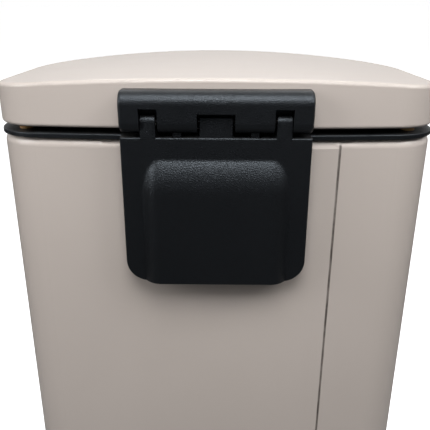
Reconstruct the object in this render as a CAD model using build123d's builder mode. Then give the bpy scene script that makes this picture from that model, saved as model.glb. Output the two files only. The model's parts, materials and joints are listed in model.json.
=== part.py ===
"""Half-round pedal bin: painted steel body and lid, black plastic trim and a rear hinge.

Millimetres, +Z up. The pedal and the front face -Y, the hinge faces +Y. The origin is on the floor,
below the middle of the bin's overall box.
"""

import os
from math import asin, cos, degrees, radians, sin, sqrt

from build123d import *

os.makedirs("parts", exist_ok=True)

# Overall sizes: the lid sets the width, depth and height
lid_width = 290.0
lid_depth = 220.0
total_height = 430.0
sheet = 0.8

# Plan outline of the lid, which the other outlines follow at an inset
back_radius = 1300.0
corner_radius = 31.0
shoulder_radius = 85.0
front_radius = 165.0

# Lid
lid_side_height = 31.3
lid_crown = 5.6
lid_edge_round = 2.6
lid_curl_round = 2.2
lid_flange = 6.0
liner_inset = 3.8
liner_lift = 2.0
liner_thickness = 2.0
panel_inset = 30.0
panel_rise = 4.0

# Body
body_inset = 0.9
body_drop = 37.6
body_bottom = 8.0
body_shoulder = 6.4
body_flange = 9.9
seam_x = -79.0
seam_width = 1.3
seam_depth = 0.45

# Rim ring
ring_inset = 0.0
ring_height = 2.6
ring_width = 13.5
ring_wall = 1.8
ring_lip_drop = 0.4
ring_foot_inset = 8.5
ring_skirt = 17.3
ring_round = 0.8
skirt_clearance = 0.4
rear_gallery = 12.0
ring_gap = 0.2

# Bucket
bucket_clearance = 1.0
bucket_wall = 1.8
bucket_flange = 4.5
bucket_flange_thickness = 2.0
bucket_draft = 4.5
bucket_floor = 54.0
bucket_edge_round = 0.8

# Bucket bail, folded forward just inside the bucket's mouth
bail_radius = 1.75
bail_inset = 4.5
bail_drop = 7.0
bail_pivot_depth = 70.0
bail_bend = 5.0
grip_radius = 3.6
grip_turn = 30.0

# Base
base_inset = 0.0
base_bottom = 2.0
base_top = 36.0
base_wall = 8.7
base_round = 1.2
ledge_width = 8.0
ledge_thickness = 3.0
plate_bottom = 3.0
plate_thickness = 2.5
foot_radius = 10.0
foot_round = 1.0
rear_foot_inset = 32.0
front_foot_inset = 21.0
front_foot_back_turn = 18.0
base_screw_inset = 13.0
rear_base_screw_depth = 45.0
front_base_screw_setback = 8.0

# Hinge axis and the upper bracket on the lid
pin_radius = 1.75
pin_behind = 5.6
pin_below = 25.0
pin_end_inset = 2.0
running_clearance = 0.05
bracket_width = 118.0
bracket_behind = 12.5
bracket_top_drop = 6.2
bracket_top_round = 8.0
bracket_end_round = 2.0
bracket_root = 3.0
slot_spacing = 82.2
slot_width = 11.3
slot_top_drop = 16.7
notch_width = 23.1
notch_top_drop = 19.5
notch_relief = 4.5
slot_web = 1.0
heel_spacing = 48.0
heel_width = 5.0
heel_reach = 13.0
heel_round = 2.2
heel_clearance = 1.0

# Hinge cover on the body
cover_behind = 10.0
cover_width = 118.0
cover_top_drop = 34.4
cover_height = 97.6
cover_corner = 14.7
cover_wall = 2.5
cover_edge_round = 0.8
bulge_proud = 5.5
bulge_drop = 13.9
bulge_top_width = 92.0
bulge_bottom_width = 91.0
bulge_corner = 14.0
bulge_taper = 50.0
bulge_round = 4.0
finger_spacing = 83.4
finger_width = 9.4
bush_wall = 1.2
bearing_width = 19.9
bearing_half_depth = 3.2
bearing_top_drop = 22.5

# Dampers inside the bulge
damper_radius = 5.5
damper_length = 56.0
damper_drop = 58.0
plunger_radius = 1.5
plunger_depth = 22.0
plunger_pad_radius = 1.75
plunger_pad_thickness = 2.0
plunger_gap = 0.6
clip_width = 14.0
clip_length = 20.0
clip_offset = 18.0

# Backing plate and fixings
backing_thickness = 0.9
backing_width = 110.0
backing_margin = 6.0
boss_radius = 4.0
boss_spacing = 101.0
boss_upper_drop = 57.0
boss_lower_drop = 118.0
screw_radius = 1.5
screw_head_radius = 3.2
screw_head_height = 1.8
screw_clearance = 0.2
cover_screw_length = 9.4
bracket_screw_length = 9.0
bracket_screw_drop = 11.0
bracket_screw_spacing = 26.0

# Pedal and its lever
pedal_overhang = 24.0
pedal_gap = 3.0
pedal_width = 62.0
pedal_thickness = 9.0
pedal_round = 3.0
lever_width = 24.0
lever_thickness = 3.0
lever_height = 25.0
lever_tail = 4.0
pivot_depth = 160.0
pivot_radius = 2.5
pivot_barrel_radius = 5.0
ear_thickness = 2.0
ear_gap = 0.6
ear_radius = 8.0
strap_width = 60.0
strap_thickness = 2.0
rivet_radius = 2.0
rivet_head_radius = 3.5
rivet_head_height = 1.2
rivet_spacing = 46.0
clip_ring_radius = 4.2
clip_ring_thickness = 1.0
slot_side_clearance = 5.0
slot_above = 6.0
slot_below = 12.5

# Push rod, its guides and the pad that it lifts
rod_radius = 3.0
rod_depth = 14.0
rod_gap = 0.3
rod_hole_clearance = 0.6
push_pad_radius = 6.0
push_pad_thickness = 1.5
guide_width = 18.0
guide_past_rod = 5.0
guide_height = 12.0
lower_guide_level = 95.0
upper_guide_drop = 52.3

# Lid bumpers
bumper_radius = 4.5
bumper_gap = 0.3
rear_bumper_inset = 19.5
rear_bumper_setback = 14.5
front_bumper_inset = 15.0
front_bumper_back_turn = 12.0

# Places worked out from the sizes above
bulge_behind = cover_behind + bulge_proud
back = (lid_depth + pedal_overhang - bulge_behind) / 2
front = back - lid_depth
lid_bottom = total_height - lid_side_height
liner_foot = lid_bottom + sheet
liner_bottom = liner_foot + liner_lift
body_top = total_height - body_drop
ring_top = body_top + ring_height
ring_inner_inset = ring_inset + ring_width
skirt_inset = body_inset + body_flange + skirt_clearance
bucket_inset = ring_inner_inset + bucket_clearance
flange_top = ring_top + bucket_flange_thickness
pin_y = back + pin_behind
pin_z = total_height - pin_below
barrel_radius = bracket_behind - pin_behind
knuckle_radius = cover_behind - pin_behind
bearing_radius = pin_radius + running_clearance
bush_radius = bearing_radius + bush_wall
cover_top = total_height - cover_top_drop
cover_bottom = cover_top - cover_height
cover_front = back + cover_behind
backing_inset = body_inset - backing_thickness
base_inner_inset = base_inset + base_wall
plate_top = plate_bottom + plate_thickness
pivot_y = back - pivot_depth
lever_top = lever_height + lever_thickness / 2
rod_y = back - rod_depth
pad_bottom = liner_bottom - push_pad_thickness
hole_radius = screw_radius + screw_clearance
hinge_sides = (-1, 1)
slot_places = [side * slot_spacing / 2 for side in hinge_sides]
finger_places = [side * finger_spacing / 2 for side in hinge_sides]
heel_places = [side * heel_spacing / 2 for side in hinge_sides]
boss_places = [side * boss_spacing / 2 for side in hinge_sides]
boss_levels = (total_height - boss_upper_drop, total_height - boss_lower_drop)
bracket_screw_places = [(i - 1.5) * bracket_screw_spacing for i in range(4)]
bracket_screw_z = total_height - bracket_screw_drop
far = 2 * total_height


def side_place(inset):
    """Half width of the outline at an inset."""
    return lid_width / 2 - inset


def front_turn(inset):
    """Degrees that the front arc turns on each side before the shoulder arc takes over."""
    offset = side_place(inset) - (shoulder_radius - inset)
    return degrees(asin(offset / (front_radius - shoulder_radius)))


def shoulder_y(inset):
    """Place in Y where the straight side ends and the shoulder arc starts."""
    reach = (front_radius - shoulder_radius) * cos(radians(front_turn(inset)))
    return front + front_radius - reach


def sag(x, inset=0.0):
    """How far the bowed back lies forward of its middle at x."""
    radius = back_radius - inset
    return radius - sqrt(radius**2 - x**2)


def front_point(inset, back_turn):
    """Point of the front arc at an inset, some degrees short of the arc's end."""
    turn = radians(front_turn(inset) - back_turn)
    radius = front_radius - inset
    return (radius * sin(turn), front + front_radius - radius * cos(turn))


def front_run(inset):
    """Shoulder and front arcs of the outline in the current line, down from the side."""
    start = (side_place(inset), shoulder_y(inset))
    turn = front_turn(inset)
    shoulder = JernArc(start, (0, -1), shoulder_radius - inset, turn - 90)
    JernArc(shoulder @ 1, shoulder % 1, front_radius - inset, -turn)


def plan(inset=0.0, rear=0.0):
    """Plan outline at an inset from the lid's edge, its back moved forward by rear as well."""
    corner_r = corner_radius - inset
    back_r = back_radius - inset
    turn = degrees(asin((side_place(inset) - corner_r) / (back_r - corner_r)))
    with BuildSketch() as outline:
        with BuildLine():
            rear_arc = JernArc((0, back - inset - rear), (1, 0), back_r, -turn)
            corner = JernArc(rear_arc @ 1, rear_arc % 1, corner_r, turn - 90)
            Line(corner @ 1, (side_place(inset), shoulder_y(inset)))
            front_run(inset)
            mirror(about=Plane.YZ)
        make_face()
    return outline.sketch


def prism(inset, low, high, rear=0.0):
    """Upright solid on the plan outline."""
    with BuildPart() as form:
        with BuildSketch(Plane.XY.offset(low)):
            add(plan(inset, rear))
        extrude(amount=high - low)
    return form.part


def drafted(low_inset, high_inset, low, high, rear=0.0):
    """Upright solid whose sides slope from one outline to another."""
    with BuildPart() as form:
        for inset, level in ((low_inset, low), (high_inset, high)):
            with BuildSketch(Plane.XY.offset(level)):
                add(plan(inset, rear))
        loft(ruled=True)
    return form.part


def body_form(inset, low, high, shoulder):
    """Body solid with its rolled-in shoulder."""
    with BuildPart() as form:
        add(prism(inset, low, high))
        fillet(form.edges().group_by(Axis.Z)[-1], shoulder)
    return form.part


def lid_form(inset, edge_round, curl_round):
    """Lid solid: crowned from side to side, with round upper and lower edges."""
    crown_radius = ((lid_width / 2) ** 2 + lid_crown**2) / (2 * lid_crown) - inset
    with BuildPart() as form:
        add(prism(inset, lid_bottom + inset, total_height + lid_crown))
        with BuildSketch(Plane.XZ):
            with Locations((0, total_height - inset - crown_radius)):
                Circle(crown_radius)
        extrude(amount=far, both=True, mode=Mode.INTERSECT)
        fillet(form.faces().sort_by(Axis.Z)[-1].edges(), edge_round)
        fillet(form.faces().sort_by(Axis.Z)[0].edges(), curl_round)
    return form.part


def across_back(z, y):
    """Plane that faces rearwards at a height and a place in Y."""
    return Plane(origin=(0, y, z), x_dir=(-1, 0, 0), z_dir=(0, 1, 0))


def barrel(radius, width, x=0.0):
    """Cylinder about the hinge axis, its middle at x."""
    with BuildPart() as form:
        with BuildSketch(Plane.YZ.offset(x)):
            with Locations((pin_y, pin_z)):
                Circle(radius)
        extrude(amount=width / 2, both=True)
    return form.part


def block(x_span, y_span, z_span):
    """Box between pairs of places in X, Y and Z."""
    sizes = [span[1] - span[0] for span in (x_span, y_span, z_span)]
    with BuildPart() as form:
        with Locations((x_span[0], y_span[0], z_span[0])):
            Box(*sizes, align=(Align.MIN, Align.MIN, Align.MIN))
    return form.part


def about(x, width):
    """Pair of places around x."""
    return (x - width / 2, x + width / 2)


def rods(points, low, high, radius):
    """Upright round rods at points of the plan."""
    with BuildPart() as form:
        with BuildSketch(Plane.XY.offset(low)):
            with Locations(*points):
                Circle(radius)
        extrude(amount=high - low)
    return form.part


def across(places, z, start, length, radius):
    """Round rods along +Y at places in X."""
    with BuildPart() as form:
        with BuildSketch(across_back(z, start)):
            with Locations(*[(x, 0) for x in places]):
                Circle(radius)
        extrude(amount=length)
    return form.part


def screws(places, z, seat, length):
    """Screws driven rearwards, the undersides of their heads at seat."""
    with BuildPart() as form:
        add(across(places, z, seat, length, screw_radius))
        add(across(places, z, seat - screw_head_height, screw_head_height, screw_head_radius))
    return form.part


def save(piece, name):
    """Label a piece and write its file."""
    piece.label = name
    export_step(piece, f"parts/{name}.step")


# Envelopes that several pieces are fitted to
body_outer = body_form(body_inset, body_bottom, body_top, body_shoulder)
lid_outer = lid_form(0, lid_edge_round, lid_curl_round)
ring_envelope = prism(ring_inset - ring_gap, body_top - ring_lip_drop - ring_gap, lid_bottom)
backing_envelope = prism(backing_inset, body_bottom, body_top - ring_lip_drop - ring_gap)
damper_top = total_height - damper_drop
damper_cylinder_form = rods(
    [(x, pin_y) for x in heel_places], damper_top - damper_length, damper_top, damper_radius
)

# Lid shell, open below inside its turned-in flange
with BuildPart() as lid_shell:
    add(lid_outer)
    add(lid_form(sheet, lid_edge_round - sheet, lid_curl_round - sheet), mode=Mode.SUBTRACT)
    add(prism(lid_flange, lid_bottom, liner_bottom), mode=Mode.SUBTRACT)
    add(
        across(bracket_screw_places, bracket_screw_z, back - lid_flange, far, hole_radius),
        mode=Mode.SUBTRACT,
    )
save(lid_shell.part, "lid_shell")

# Inner lid panel, whose rim stands on the flange and whose middle rises for stiffness
with BuildPart() as lid_liner:
    add(prism(liner_inset, liner_foot, liner_bottom + liner_thickness))
    add(prism(liner_inset + liner_thickness, liner_foot, liner_bottom), mode=Mode.SUBTRACT)
    panel_top_inset = panel_inset + panel_rise
    liner_top = liner_bottom + liner_thickness
    add(drafted(panel_inset, panel_top_inset, liner_top, liner_top + panel_rise))
    add(
        drafted(
            panel_inset + liner_thickness,
            panel_top_inset + liner_thickness,
            liner_bottom,
            liner_bottom + panel_rise,
        ),
        mode=Mode.SUBTRACT,
    )
save(lid_liner.part, "lid_liner")

# Soft bumpers: the rear pair lands on the rim ring, the front pair on the bucket's flange
with BuildPart() as lid_bumpers:
    rear_x = side_place(rear_bumper_inset)
    rear_y = back - sag(rear_x) - rear_bumper_setback
    front_x, front_y = front_point(front_bumper_inset, front_bumper_back_turn)
    rear_points = [(side * rear_x, rear_y) for side in hinge_sides]
    front_points = [(side * front_x, front_y) for side in hinge_sides]
    add(rods(rear_points, ring_top + bumper_gap, liner_bottom, bumper_radius))
    add(rods(front_points, flange_top + bumper_gap, liner_bottom, bumper_radius))
save(lid_bumpers.part, "lid_bumpers")

# Hard pad under the inner panel, where the push rod lifts the lid
push_pad = rods([(0, rod_y)], pad_bottom, liner_bottom, push_pad_radius)
save(push_pad, "push_pad")

# Upper hinge bracket: a barrel about the pin, carried by a rounded block on the lid's back
with BuildPart() as lid_bracket:
    with BuildSketch(Plane.YZ):
        with BuildLine():
            Polyline(
                (pin_y + barrel_radius, pin_z),
                (pin_y + barrel_radius, total_height - bracket_top_drop),
                (back - bracket_root, total_height - bracket_top_drop),
                (back - bracket_root, pin_z),
                close=True,
            )
        make_face()
        with Locations((pin_y, pin_z)):
            Circle(barrel_radius)
    extrude(amount=bracket_width / 2, both=True)
    long_edges = lid_bracket.edges().filter_by(Axis.X)
    fillet(long_edges.group_by(Axis.Z)[-1].sort_by(Axis.Y)[-1], bracket_top_round)
    end_edges = [
        edge
        for end in lid_bracket.faces().filter_by(Axis.X)
        for edge in end.edges()
        if edge.center().Y > back
    ]
    fillet(end_edges, bracket_end_round)
    add(lid_outer, mode=Mode.SUBTRACT)
    reach = (back + slot_web, back + far)
    for x in slot_places:
        slot_top = total_height - slot_top_drop
        add(block(about(x, slot_width), reach, (pin_z - far, slot_top)), mode=Mode.SUBTRACT)
    notch_top = total_height - notch_top_drop
    add(block(about(0, notch_width), reach, (pin_z - far, notch_top)), mode=Mode.SUBTRACT)
    add(barrel(notch_relief, notch_width), mode=Mode.SUBTRACT)
    for x in heel_places:
        with BuildSketch(Plane.YZ.offset(x)):
            with Locations((pin_y, pin_z - heel_reach + heel_round)):
                Circle(heel_round)
            with Locations((pin_y, pin_z)):
                Rectangle(2 * heel_round, heel_reach - heel_round, align=(Align.CENTER, Align.MAX))
        extrude(amount=heel_width / 2, both=True)
    add(barrel(pin_radius, bracket_width), mode=Mode.SUBTRACT)
    screw_reach = lid_flange + bracket_screw_length
    add(
        across(bracket_screw_places, bracket_screw_z, back - lid_flange, screw_reach, screw_radius),
        mode=Mode.SUBTRACT,
    )
save(lid_bracket.part, "lid_bracket")

# Screws from inside the lid into the bracket
with BuildPart() as bracket_screws:
    for x in bracket_screw_places:
        seat = back - sheet - sag(abs(x) + screw_head_radius, sheet)
        add(screws([x], bracket_screw_z, seat, bracket_screw_length))
save(bracket_screws.part, "bracket_screws")

# Hinge pin, held by the bracket
hinge_pin = barrel(pin_radius, bracket_width - 2 * pin_end_inset)
save(hinge_pin, "hinge_pin")

# Body shell: one wrapped sheet with a lap seam, rolled in at the top
with BuildPart() as body_shell:
    add(body_outer)
    add(
        body_form(body_inset + sheet, body_bottom, body_top - sheet, body_shoulder - sheet),
        mode=Mode.SUBTRACT,
    )
    add(prism(body_inset + body_flange, body_top - sheet, body_top), mode=Mode.SUBTRACT)
    with BuildSketch(Plane.XY.offset(body_bottom)):
        add(plan(body_inset - sheet))
        add(plan(body_inset + seam_depth), mode=Mode.SUBTRACT)
        with Locations((seam_x, back)):
            Rectangle(seam_width, corner_radius, mode=Mode.INTERSECT)
    extrude(amount=far, mode=Mode.SUBTRACT)
    for z in boss_levels:
        add(across(boss_places, z, back - corner_radius, far, hole_radius), mode=Mode.SUBTRACT)
    add(
        block(
            about(0, lever_width + 2 * slot_side_clearance),
            (front - pedal_overhang, front + corner_radius),
            (lever_height - slot_below, lever_height + slot_above),
        ),
        mode=Mode.SUBTRACT,
    )
save(body_shell.part, "body_shell")

# Rim ring: a channel over the body's mouth, with a skirt inside it and a shelf for the bucket
with BuildPart() as rim_ring:
    add(prism(ring_inset, body_top - ring_lip_drop, ring_top))
    fillet(rim_ring.edges().group_by(Axis.Z)[-1], ring_round)
    add(
        prism(ring_inner_inset, body_top - ring_lip_drop, ring_top, rear_gallery),
        mode=Mode.SUBTRACT,
    )
    with BuildSketch(Plane.XY.offset(body_top - ring_lip_drop)):
        add(plan(ring_inset + ring_wall))
    extrude(amount=ring_lip_drop, mode=Mode.SUBTRACT)
    with BuildSketch(Plane.XY.offset(body_top)):
        add(plan(ring_inset + ring_wall))
        add(plan(ring_foot_inset), mode=Mode.SUBTRACT)
    extrude(amount=ring_height - ring_wall, mode=Mode.SUBTRACT)
    with BuildSketch(Plane.XY.offset(body_top)):
        add(plan(ring_inner_inset))
    extrude(amount=ring_height - ring_wall, mode=Mode.SUBTRACT)
    with BuildSketch(Plane.XY.offset(ring_top)):
        add(plan(skirt_inset))
        add(plan(ring_inner_inset), mode=Mode.SUBTRACT)
    extrude(amount=-ring_height - ring_skirt)
    add(
        rods([(0, rod_y)], body_top - ring_skirt, ring_top, rod_radius + rod_hole_clearance),
        mode=Mode.SUBTRACT,
    )
    for x in heel_places:
        add(
            block(
                about(x, heel_width + 2 * heel_clearance),
                (pin_y - heel_reach + heel_clearance, back),
                (pin_z - heel_reach - plunger_gap, ring_top),
            ),
            mode=Mode.SUBTRACT,
        )
save(rim_ring.part, "rim_ring")

# Base ring: a wall grooved for the body sheet, with a ledge for the floor plate
with BuildPart() as base_ring:
    add(prism(base_inset, base_bottom, base_top))
    fillet(base_ring.edges().group_by(Axis.Z)[-1], base_round)
    fillet(base_ring.edges().group_by(Axis.Z)[0], base_round)
    ledge_inset = base_inner_inset + ledge_width
    add(prism(ledge_inset, base_bottom, base_top), mode=Mode.SUBTRACT)
    add(prism(base_inner_inset, base_bottom, plate_top), mode=Mode.SUBTRACT)
    add(prism(base_inner_inset, plate_top + ledge_thickness, base_top), mode=Mode.SUBTRACT)
    with BuildSketch(Plane.XY.offset(body_bottom)):
        add(plan(body_inset))
        add(plan(body_inset + sheet), mode=Mode.SUBTRACT)
    extrude(amount=base_top, mode=Mode.SUBTRACT)
    add(
        block(
            about(0, lever_width + 2 * slot_side_clearance),
            (front - pedal_overhang, front + corner_radius),
            (lever_height - slot_below, lever_height + slot_above),
        ),
        mode=Mode.SUBTRACT,
    )
    base_screw_rows = (
        back - rear_base_screw_depth,
        shoulder_y(base_screw_inset) + front_base_screw_setback,
    )
    base_screw_points = [
        (side * side_place(base_screw_inset), y) for side in hinge_sides for y in base_screw_rows
    ]
    add(rods(base_screw_points, plate_bottom, body_bottom, screw_radius), mode=Mode.SUBTRACT)
save(base_ring.part, "base_ring")

# Floor plate below the ledge
rivet_points = [(side * rivet_spacing / 2, pivot_y) for side in hinge_sides]
with BuildPart() as base_plate:
    add(prism(base_inner_inset, plate_bottom, plate_top))
    add(rods(base_screw_points, plate_bottom, plate_top, screw_radius), mode=Mode.SUBTRACT)
    add(rods(rivet_points, plate_bottom, plate_top, rivet_radius), mode=Mode.SUBTRACT)
save(base_plate.part, "base_plate")

# Screws up through the floor plate into the ledge
with BuildPart() as base_screws:
    head_bottom = plate_bottom - screw_head_height
    add(rods(base_screw_points, plate_bottom, body_bottom, screw_radius))
    add(rods(base_screw_points, head_bottom, plate_bottom, screw_head_radius))
save(base_screws.part, "base_screws")

# Rubber feet under the floor plate
with BuildPart() as rubber_feet:
    rear_foot = (side_place(rear_foot_inset), back - rear_foot_inset)
    front_foot = front_point(front_foot_inset, front_foot_back_turn)
    foot_points = [(side * x, y) for side in hinge_sides for x, y in (rear_foot, front_foot)]
    add(rods(foot_points, 0, plate_bottom, foot_radius))
    chamfer(rubber_feet.edges().group_by(Axis.Z)[0], foot_round)
save(rubber_feet.part, "rubber_feet")

# Pedal bracket: a strap on the floor plate with two ears for the pivot pin
ear_inner = lever_width / 2 + ear_gap
with BuildPart() as pedal_bracket:
    add(
        block(
            about(0, strap_width),
            about(pivot_y, 2 * ear_radius),
            (plate_top, plate_top + strap_thickness),
        )
    )
    for side in hinge_sides:
        with BuildSketch(Plane.YZ.offset(side * (ear_inner + ear_thickness / 2))):
            with Locations((pivot_y, lever_height)):
                Circle(ear_radius)
                ear_height = lever_height - plate_top
                Rectangle(2 * ear_radius, ear_height, align=(Align.CENTER, Align.MAX))
        extrude(amount=ear_thickness / 2, both=True)
    with BuildSketch(Plane.YZ):
        with Locations((pivot_y, lever_height)):
            Circle(pivot_radius)
    extrude(amount=strap_width, both=True, mode=Mode.SUBTRACT)
    add(
        rods(rivet_points, plate_top, plate_top + strap_thickness, rivet_radius),
        mode=Mode.SUBTRACT,
    )
save(pedal_bracket.part, "pedal_bracket")

# Rivets that hold the bracket down
with BuildPart() as bracket_rivets:
    strap_top = plate_top + strap_thickness
    add(rods(rivet_points, plate_bottom, strap_top, rivet_radius))
    add(rods(rivet_points, strap_top, strap_top + rivet_head_height, rivet_head_radius))
save(bracket_rivets.part, "bracket_rivets")

# Pivot pin and the two clip rings on its ends
pin_end = ear_inner + ear_thickness + clip_ring_thickness
with BuildPart() as pedal_pin:
    with BuildSketch(Plane.YZ):
        with Locations((pivot_y, lever_height)):
            Circle(pivot_radius)
    extrude(amount=pin_end + clip_ring_thickness, both=True)
save(pedal_pin.part, "pedal_pin")

with BuildPart() as pin_clips:
    for side in hinge_sides:
        with BuildSketch(Plane.YZ.offset(side * (pin_end - clip_ring_thickness / 2))):
            with Locations((pivot_y, lever_height)):
                Circle(clip_ring_radius)
                Circle(pivot_radius, mode=Mode.SUBTRACT)
        extrude(amount=clip_ring_thickness / 2, both=True)
save(pin_clips.part, "pin_clips")

# Pedal lever: a flat bar with a pivot barrel across it
lever_front = front - pedal_overhang + pedal_round
lever_form = block(
    about(0, lever_width),
    (lever_front, rod_y + lever_tail),
    about(lever_height, lever_thickness),
)
with BuildPart() as pedal_lever:
    add(lever_form)
    with BuildSketch(Plane.YZ):
        with Locations((pivot_y, lever_height)):
            Circle(pivot_barrel_radius)
    extrude(amount=lever_width / 2, both=True)
    with BuildSketch(Plane.YZ):
        with Locations((pivot_y, lever_height)):
            Circle(pivot_radius + running_clearance)
    extrude(amount=lever_width, both=True, mode=Mode.SUBTRACT)
save(pedal_lever.part, "pedal_lever")

# Pedal pad on the front end of the lever
with BuildPart() as pedal_pad:
    add(
        block(
            about(0, pedal_width),
            (front - pedal_overhang, front - pedal_gap),
            about(lever_height, pedal_thickness),
        )
    )
    fillet(pedal_pad.edges(), pedal_round)
    add(lever_form, mode=Mode.SUBTRACT)
save(pedal_pad.part, "pedal_pad")

# Push rod with round ends, between the lever's tail and the pad on the lid
rod_low = lever_top + rod_gap + rod_radius
rod_high = pad_bottom - rod_gap - rod_radius
with BuildPart() as push_rod:
    add(rods([(0, rod_y)], rod_low, rod_high, rod_radius))
    with Locations((0, rod_y, rod_low), (0, rod_y, rod_high)):
        Sphere(rod_radius)
save(push_rod.part, "push_rod")

# Guides on the body's inner wall, which carry the push rod
with BuildPart() as rod_guides:
    for level in (lower_guide_level, body_top - upper_guide_drop):
        with BuildSketch(Plane.XY.offset(level)):
            add(plan(body_inset + sheet))
            guide_front = rod_y - rod_radius - guide_past_rod
            with Locations((0, guide_front)):
                Rectangle(
                    guide_width, corner_radius, align=(Align.CENTER, Align.MIN), mode=Mode.INTERSECT
                )
            with Locations((0, rod_y)):
                Circle(rod_radius + running_clearance, mode=Mode.SUBTRACT)
        extrude(amount=guide_height)
save(rod_guides.part, "rod_guides")

# Inner bucket that hangs by its flange on the rim ring
bucket_bottom_inset = bucket_inset + bucket_draft
with BuildPart() as inner_bucket:
    add(drafted(bucket_bottom_inset, bucket_inset, bucket_floor, flange_top, rear_gallery))
    add(prism(bucket_inset - bucket_flange, ring_top, flange_top, rear_gallery))
    add(
        drafted(
            bucket_bottom_inset + bucket_wall,
            bucket_inset + bucket_wall,
            bucket_floor + bucket_wall,
            flange_top,
            rear_gallery,
        ),
        mode=Mode.SUBTRACT,
    )
    bail_y = back - bail_pivot_depth
    bail_z = flange_top - bail_drop
    with BuildSketch(Plane.YZ):
        with Locations((bail_y, bail_z)):
            Circle(bail_radius + running_clearance)
    extrude(amount=far, both=True, mode=Mode.SUBTRACT)
save(inner_bucket.part, "inner_bucket")

# Wire bail: its ends pass through the bucket's sides, its run follows the mouth
wire_inset = bucket_inset + bucket_wall + bail_inset
with BuildPart() as bucket_handle:
    with BuildLine(Plane.XY.offset(bail_z)) as bail_path:
        bend_start = (side_place(wire_inset) + bail_bend, bail_y)
        Line((side_place(bucket_inset + bucket_clearance), bail_y), bend_start)
        bend = JernArc(bend_start, (-1, 0), bail_bend, 90)
        Line(bend @ 1, (side_place(wire_inset), shoulder_y(wire_inset)))
        front_run(wire_inset)
        mirror(about=Plane.YZ)
    start_plane = Plane(
        origin=(side_place(bucket_inset + bucket_clearance), bail_y, bail_z), z_dir=(-1, 0, 0)
    )
    with BuildSketch(start_plane):
        Circle(bail_radius)
    sweep(path=bail_path.wires()[0])
save(bucket_handle.part, "bucket_handle")

# Grip sleeve round the middle of the bail
with BuildPart() as handle_grip:
    grip_path_radius = front_radius - wire_inset
    with BuildLine(Plane.XY.offset(bail_z)) as grip_path:
        CenterArc((0, front + front_radius), grip_path_radius, -90 - grip_turn / 2, grip_turn)
    with BuildSketch(Plane(origin=grip_path.line @ 0, z_dir=grip_path.line % 0)):
        Circle(grip_radius)
        Circle(bail_radius, mode=Mode.SUBTRACT)
    sweep(path=grip_path.wires()[0])
save(handle_grip.part, "handle_grip")

# Backing plate that spreads the hinge's load over the body's back
plate_low = boss_levels[1] - backing_margin
plate_high = boss_levels[0] + backing_margin
with BuildPart() as backing_plate:
    with BuildSketch(Plane.XY.offset(plate_low)):
        add(plan(backing_inset))
        with Locations((0, back)):
            Rectangle(backing_width, corner_radius, mode=Mode.INTERSECT)
        add(plan(body_inset), mode=Mode.SUBTRACT)
    extrude(amount=plate_high - plate_low)
    for z in boss_levels:
        add(across(boss_places, z, back - corner_radius, far, hole_radius), mode=Mode.SUBTRACT)
save(backing_plate.part, "backing_plate")


def cover_form(wall):
    """Cover outline with its bulge, taken inwards by a wall on every side."""
    height = cover_height - 2 * wall
    with BuildPart() as form:
        with BuildSketch(across_back(cover_top - wall, back - corner_radius)):
            outline = Rectangle(
                cover_width - 2 * wall, height, align=(Align.CENTER, Align.MAX)
            )
            fillet(outline.vertices().group_by(Axis.Y)[0], cover_corner - wall)
        extrude(amount=corner_radius + cover_behind - wall)
        if wall == 0:
            fillet(form.faces().sort_by(Axis.Y)[-1].edges(), cover_edge_round)
        bulge_top = -bulge_drop - wall
        bulge_low = -cover_height - bulge_corner
        half_top = bulge_top_width / 2 - wall
        half_low = bulge_bottom_width / 2 - wall
        with BuildSketch(across_back(cover_top, cover_front - wall)):
            with BuildLine():
                Polyline(
                    (-half_top, bulge_top),
                    (half_top, bulge_top),
                    (half_low, bulge_low),
                    (-half_low, bulge_low),
                    close=True,
                )
            bulge = make_face()
            fillet(bulge.vertices().group_by(Axis.Y)[-1], bulge_corner - wall)
        extrude(amount=bulge_proud, taper=bulge_taper)
        if wall == 0:
            fillet(form.faces().sort_by(Axis.Y)[-1].edges(), bulge_round)
        add(
            block(
                about(0, cover_width),
                (back - corner_radius, back + far),
                (cover_bottom + wall, cover_top - wall),
            ),
            mode=Mode.INTERSECT,
        )
    return form.part


# Hinge cover: a hollow housing with its bulge, screw bosses and the two hinge fingers
with BuildPart() as hinge_cover:
    add(cover_form(0))
    add(cover_form(cover_wall), mode=Mode.SUBTRACT)
    boss_reach = corner_radius + cover_behind - cover_wall / 2
    for z in boss_levels:
        add(across(boss_places, z, back - corner_radius, boss_reach, boss_radius))
    for x in finger_places:
        with BuildSketch(Plane.YZ.offset(x)):
            with Locations((pin_y, pin_z)):
                Circle(knuckle_radius)
                finger_height = pin_z - cover_top + cover_wall
                Rectangle(2 * knuckle_radius, finger_height, align=(Align.CENTER, Align.MAX))
        extrude(amount=finger_width / 2, both=True)
    add(body_outer, mode=Mode.SUBTRACT)
    add(
        block(
            about(0, backing_width + 2 * ring_gap),
            (back - corner_radius, back - backing_inset),
            (plate_low - ring_gap, plate_high + ring_gap),
        ),
        mode=Mode.SUBTRACT,
    )
    add(ring_envelope, mode=Mode.SUBTRACT)
    bore_reach = corner_radius - body_inset + cover_screw_length
    for z in boss_levels:
        add(
            across(boss_places, z, back - corner_radius, bore_reach, screw_radius),
            mode=Mode.SUBTRACT,
        )
    for x in heel_places:
        add(
            block(
                about(x, heel_width + 2 * heel_clearance),
                (back - corner_radius, pin_y + heel_round + heel_clearance),
                (cover_top - cover_wall, cover_top),
            ),
            mode=Mode.SUBTRACT,
        )
    add(barrel(bush_radius, cover_width), mode=Mode.SUBTRACT)
save(hinge_cover.part, "hinge_cover")

# Bushes in the two fingers
with BuildPart() as hinge_bushes:
    for x in finger_places:
        add(barrel(bush_radius, finger_width, x))
    add(barrel(bearing_radius, cover_width), mode=Mode.SUBTRACT)
save(hinge_bushes.part, "hinge_bushes")

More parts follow.
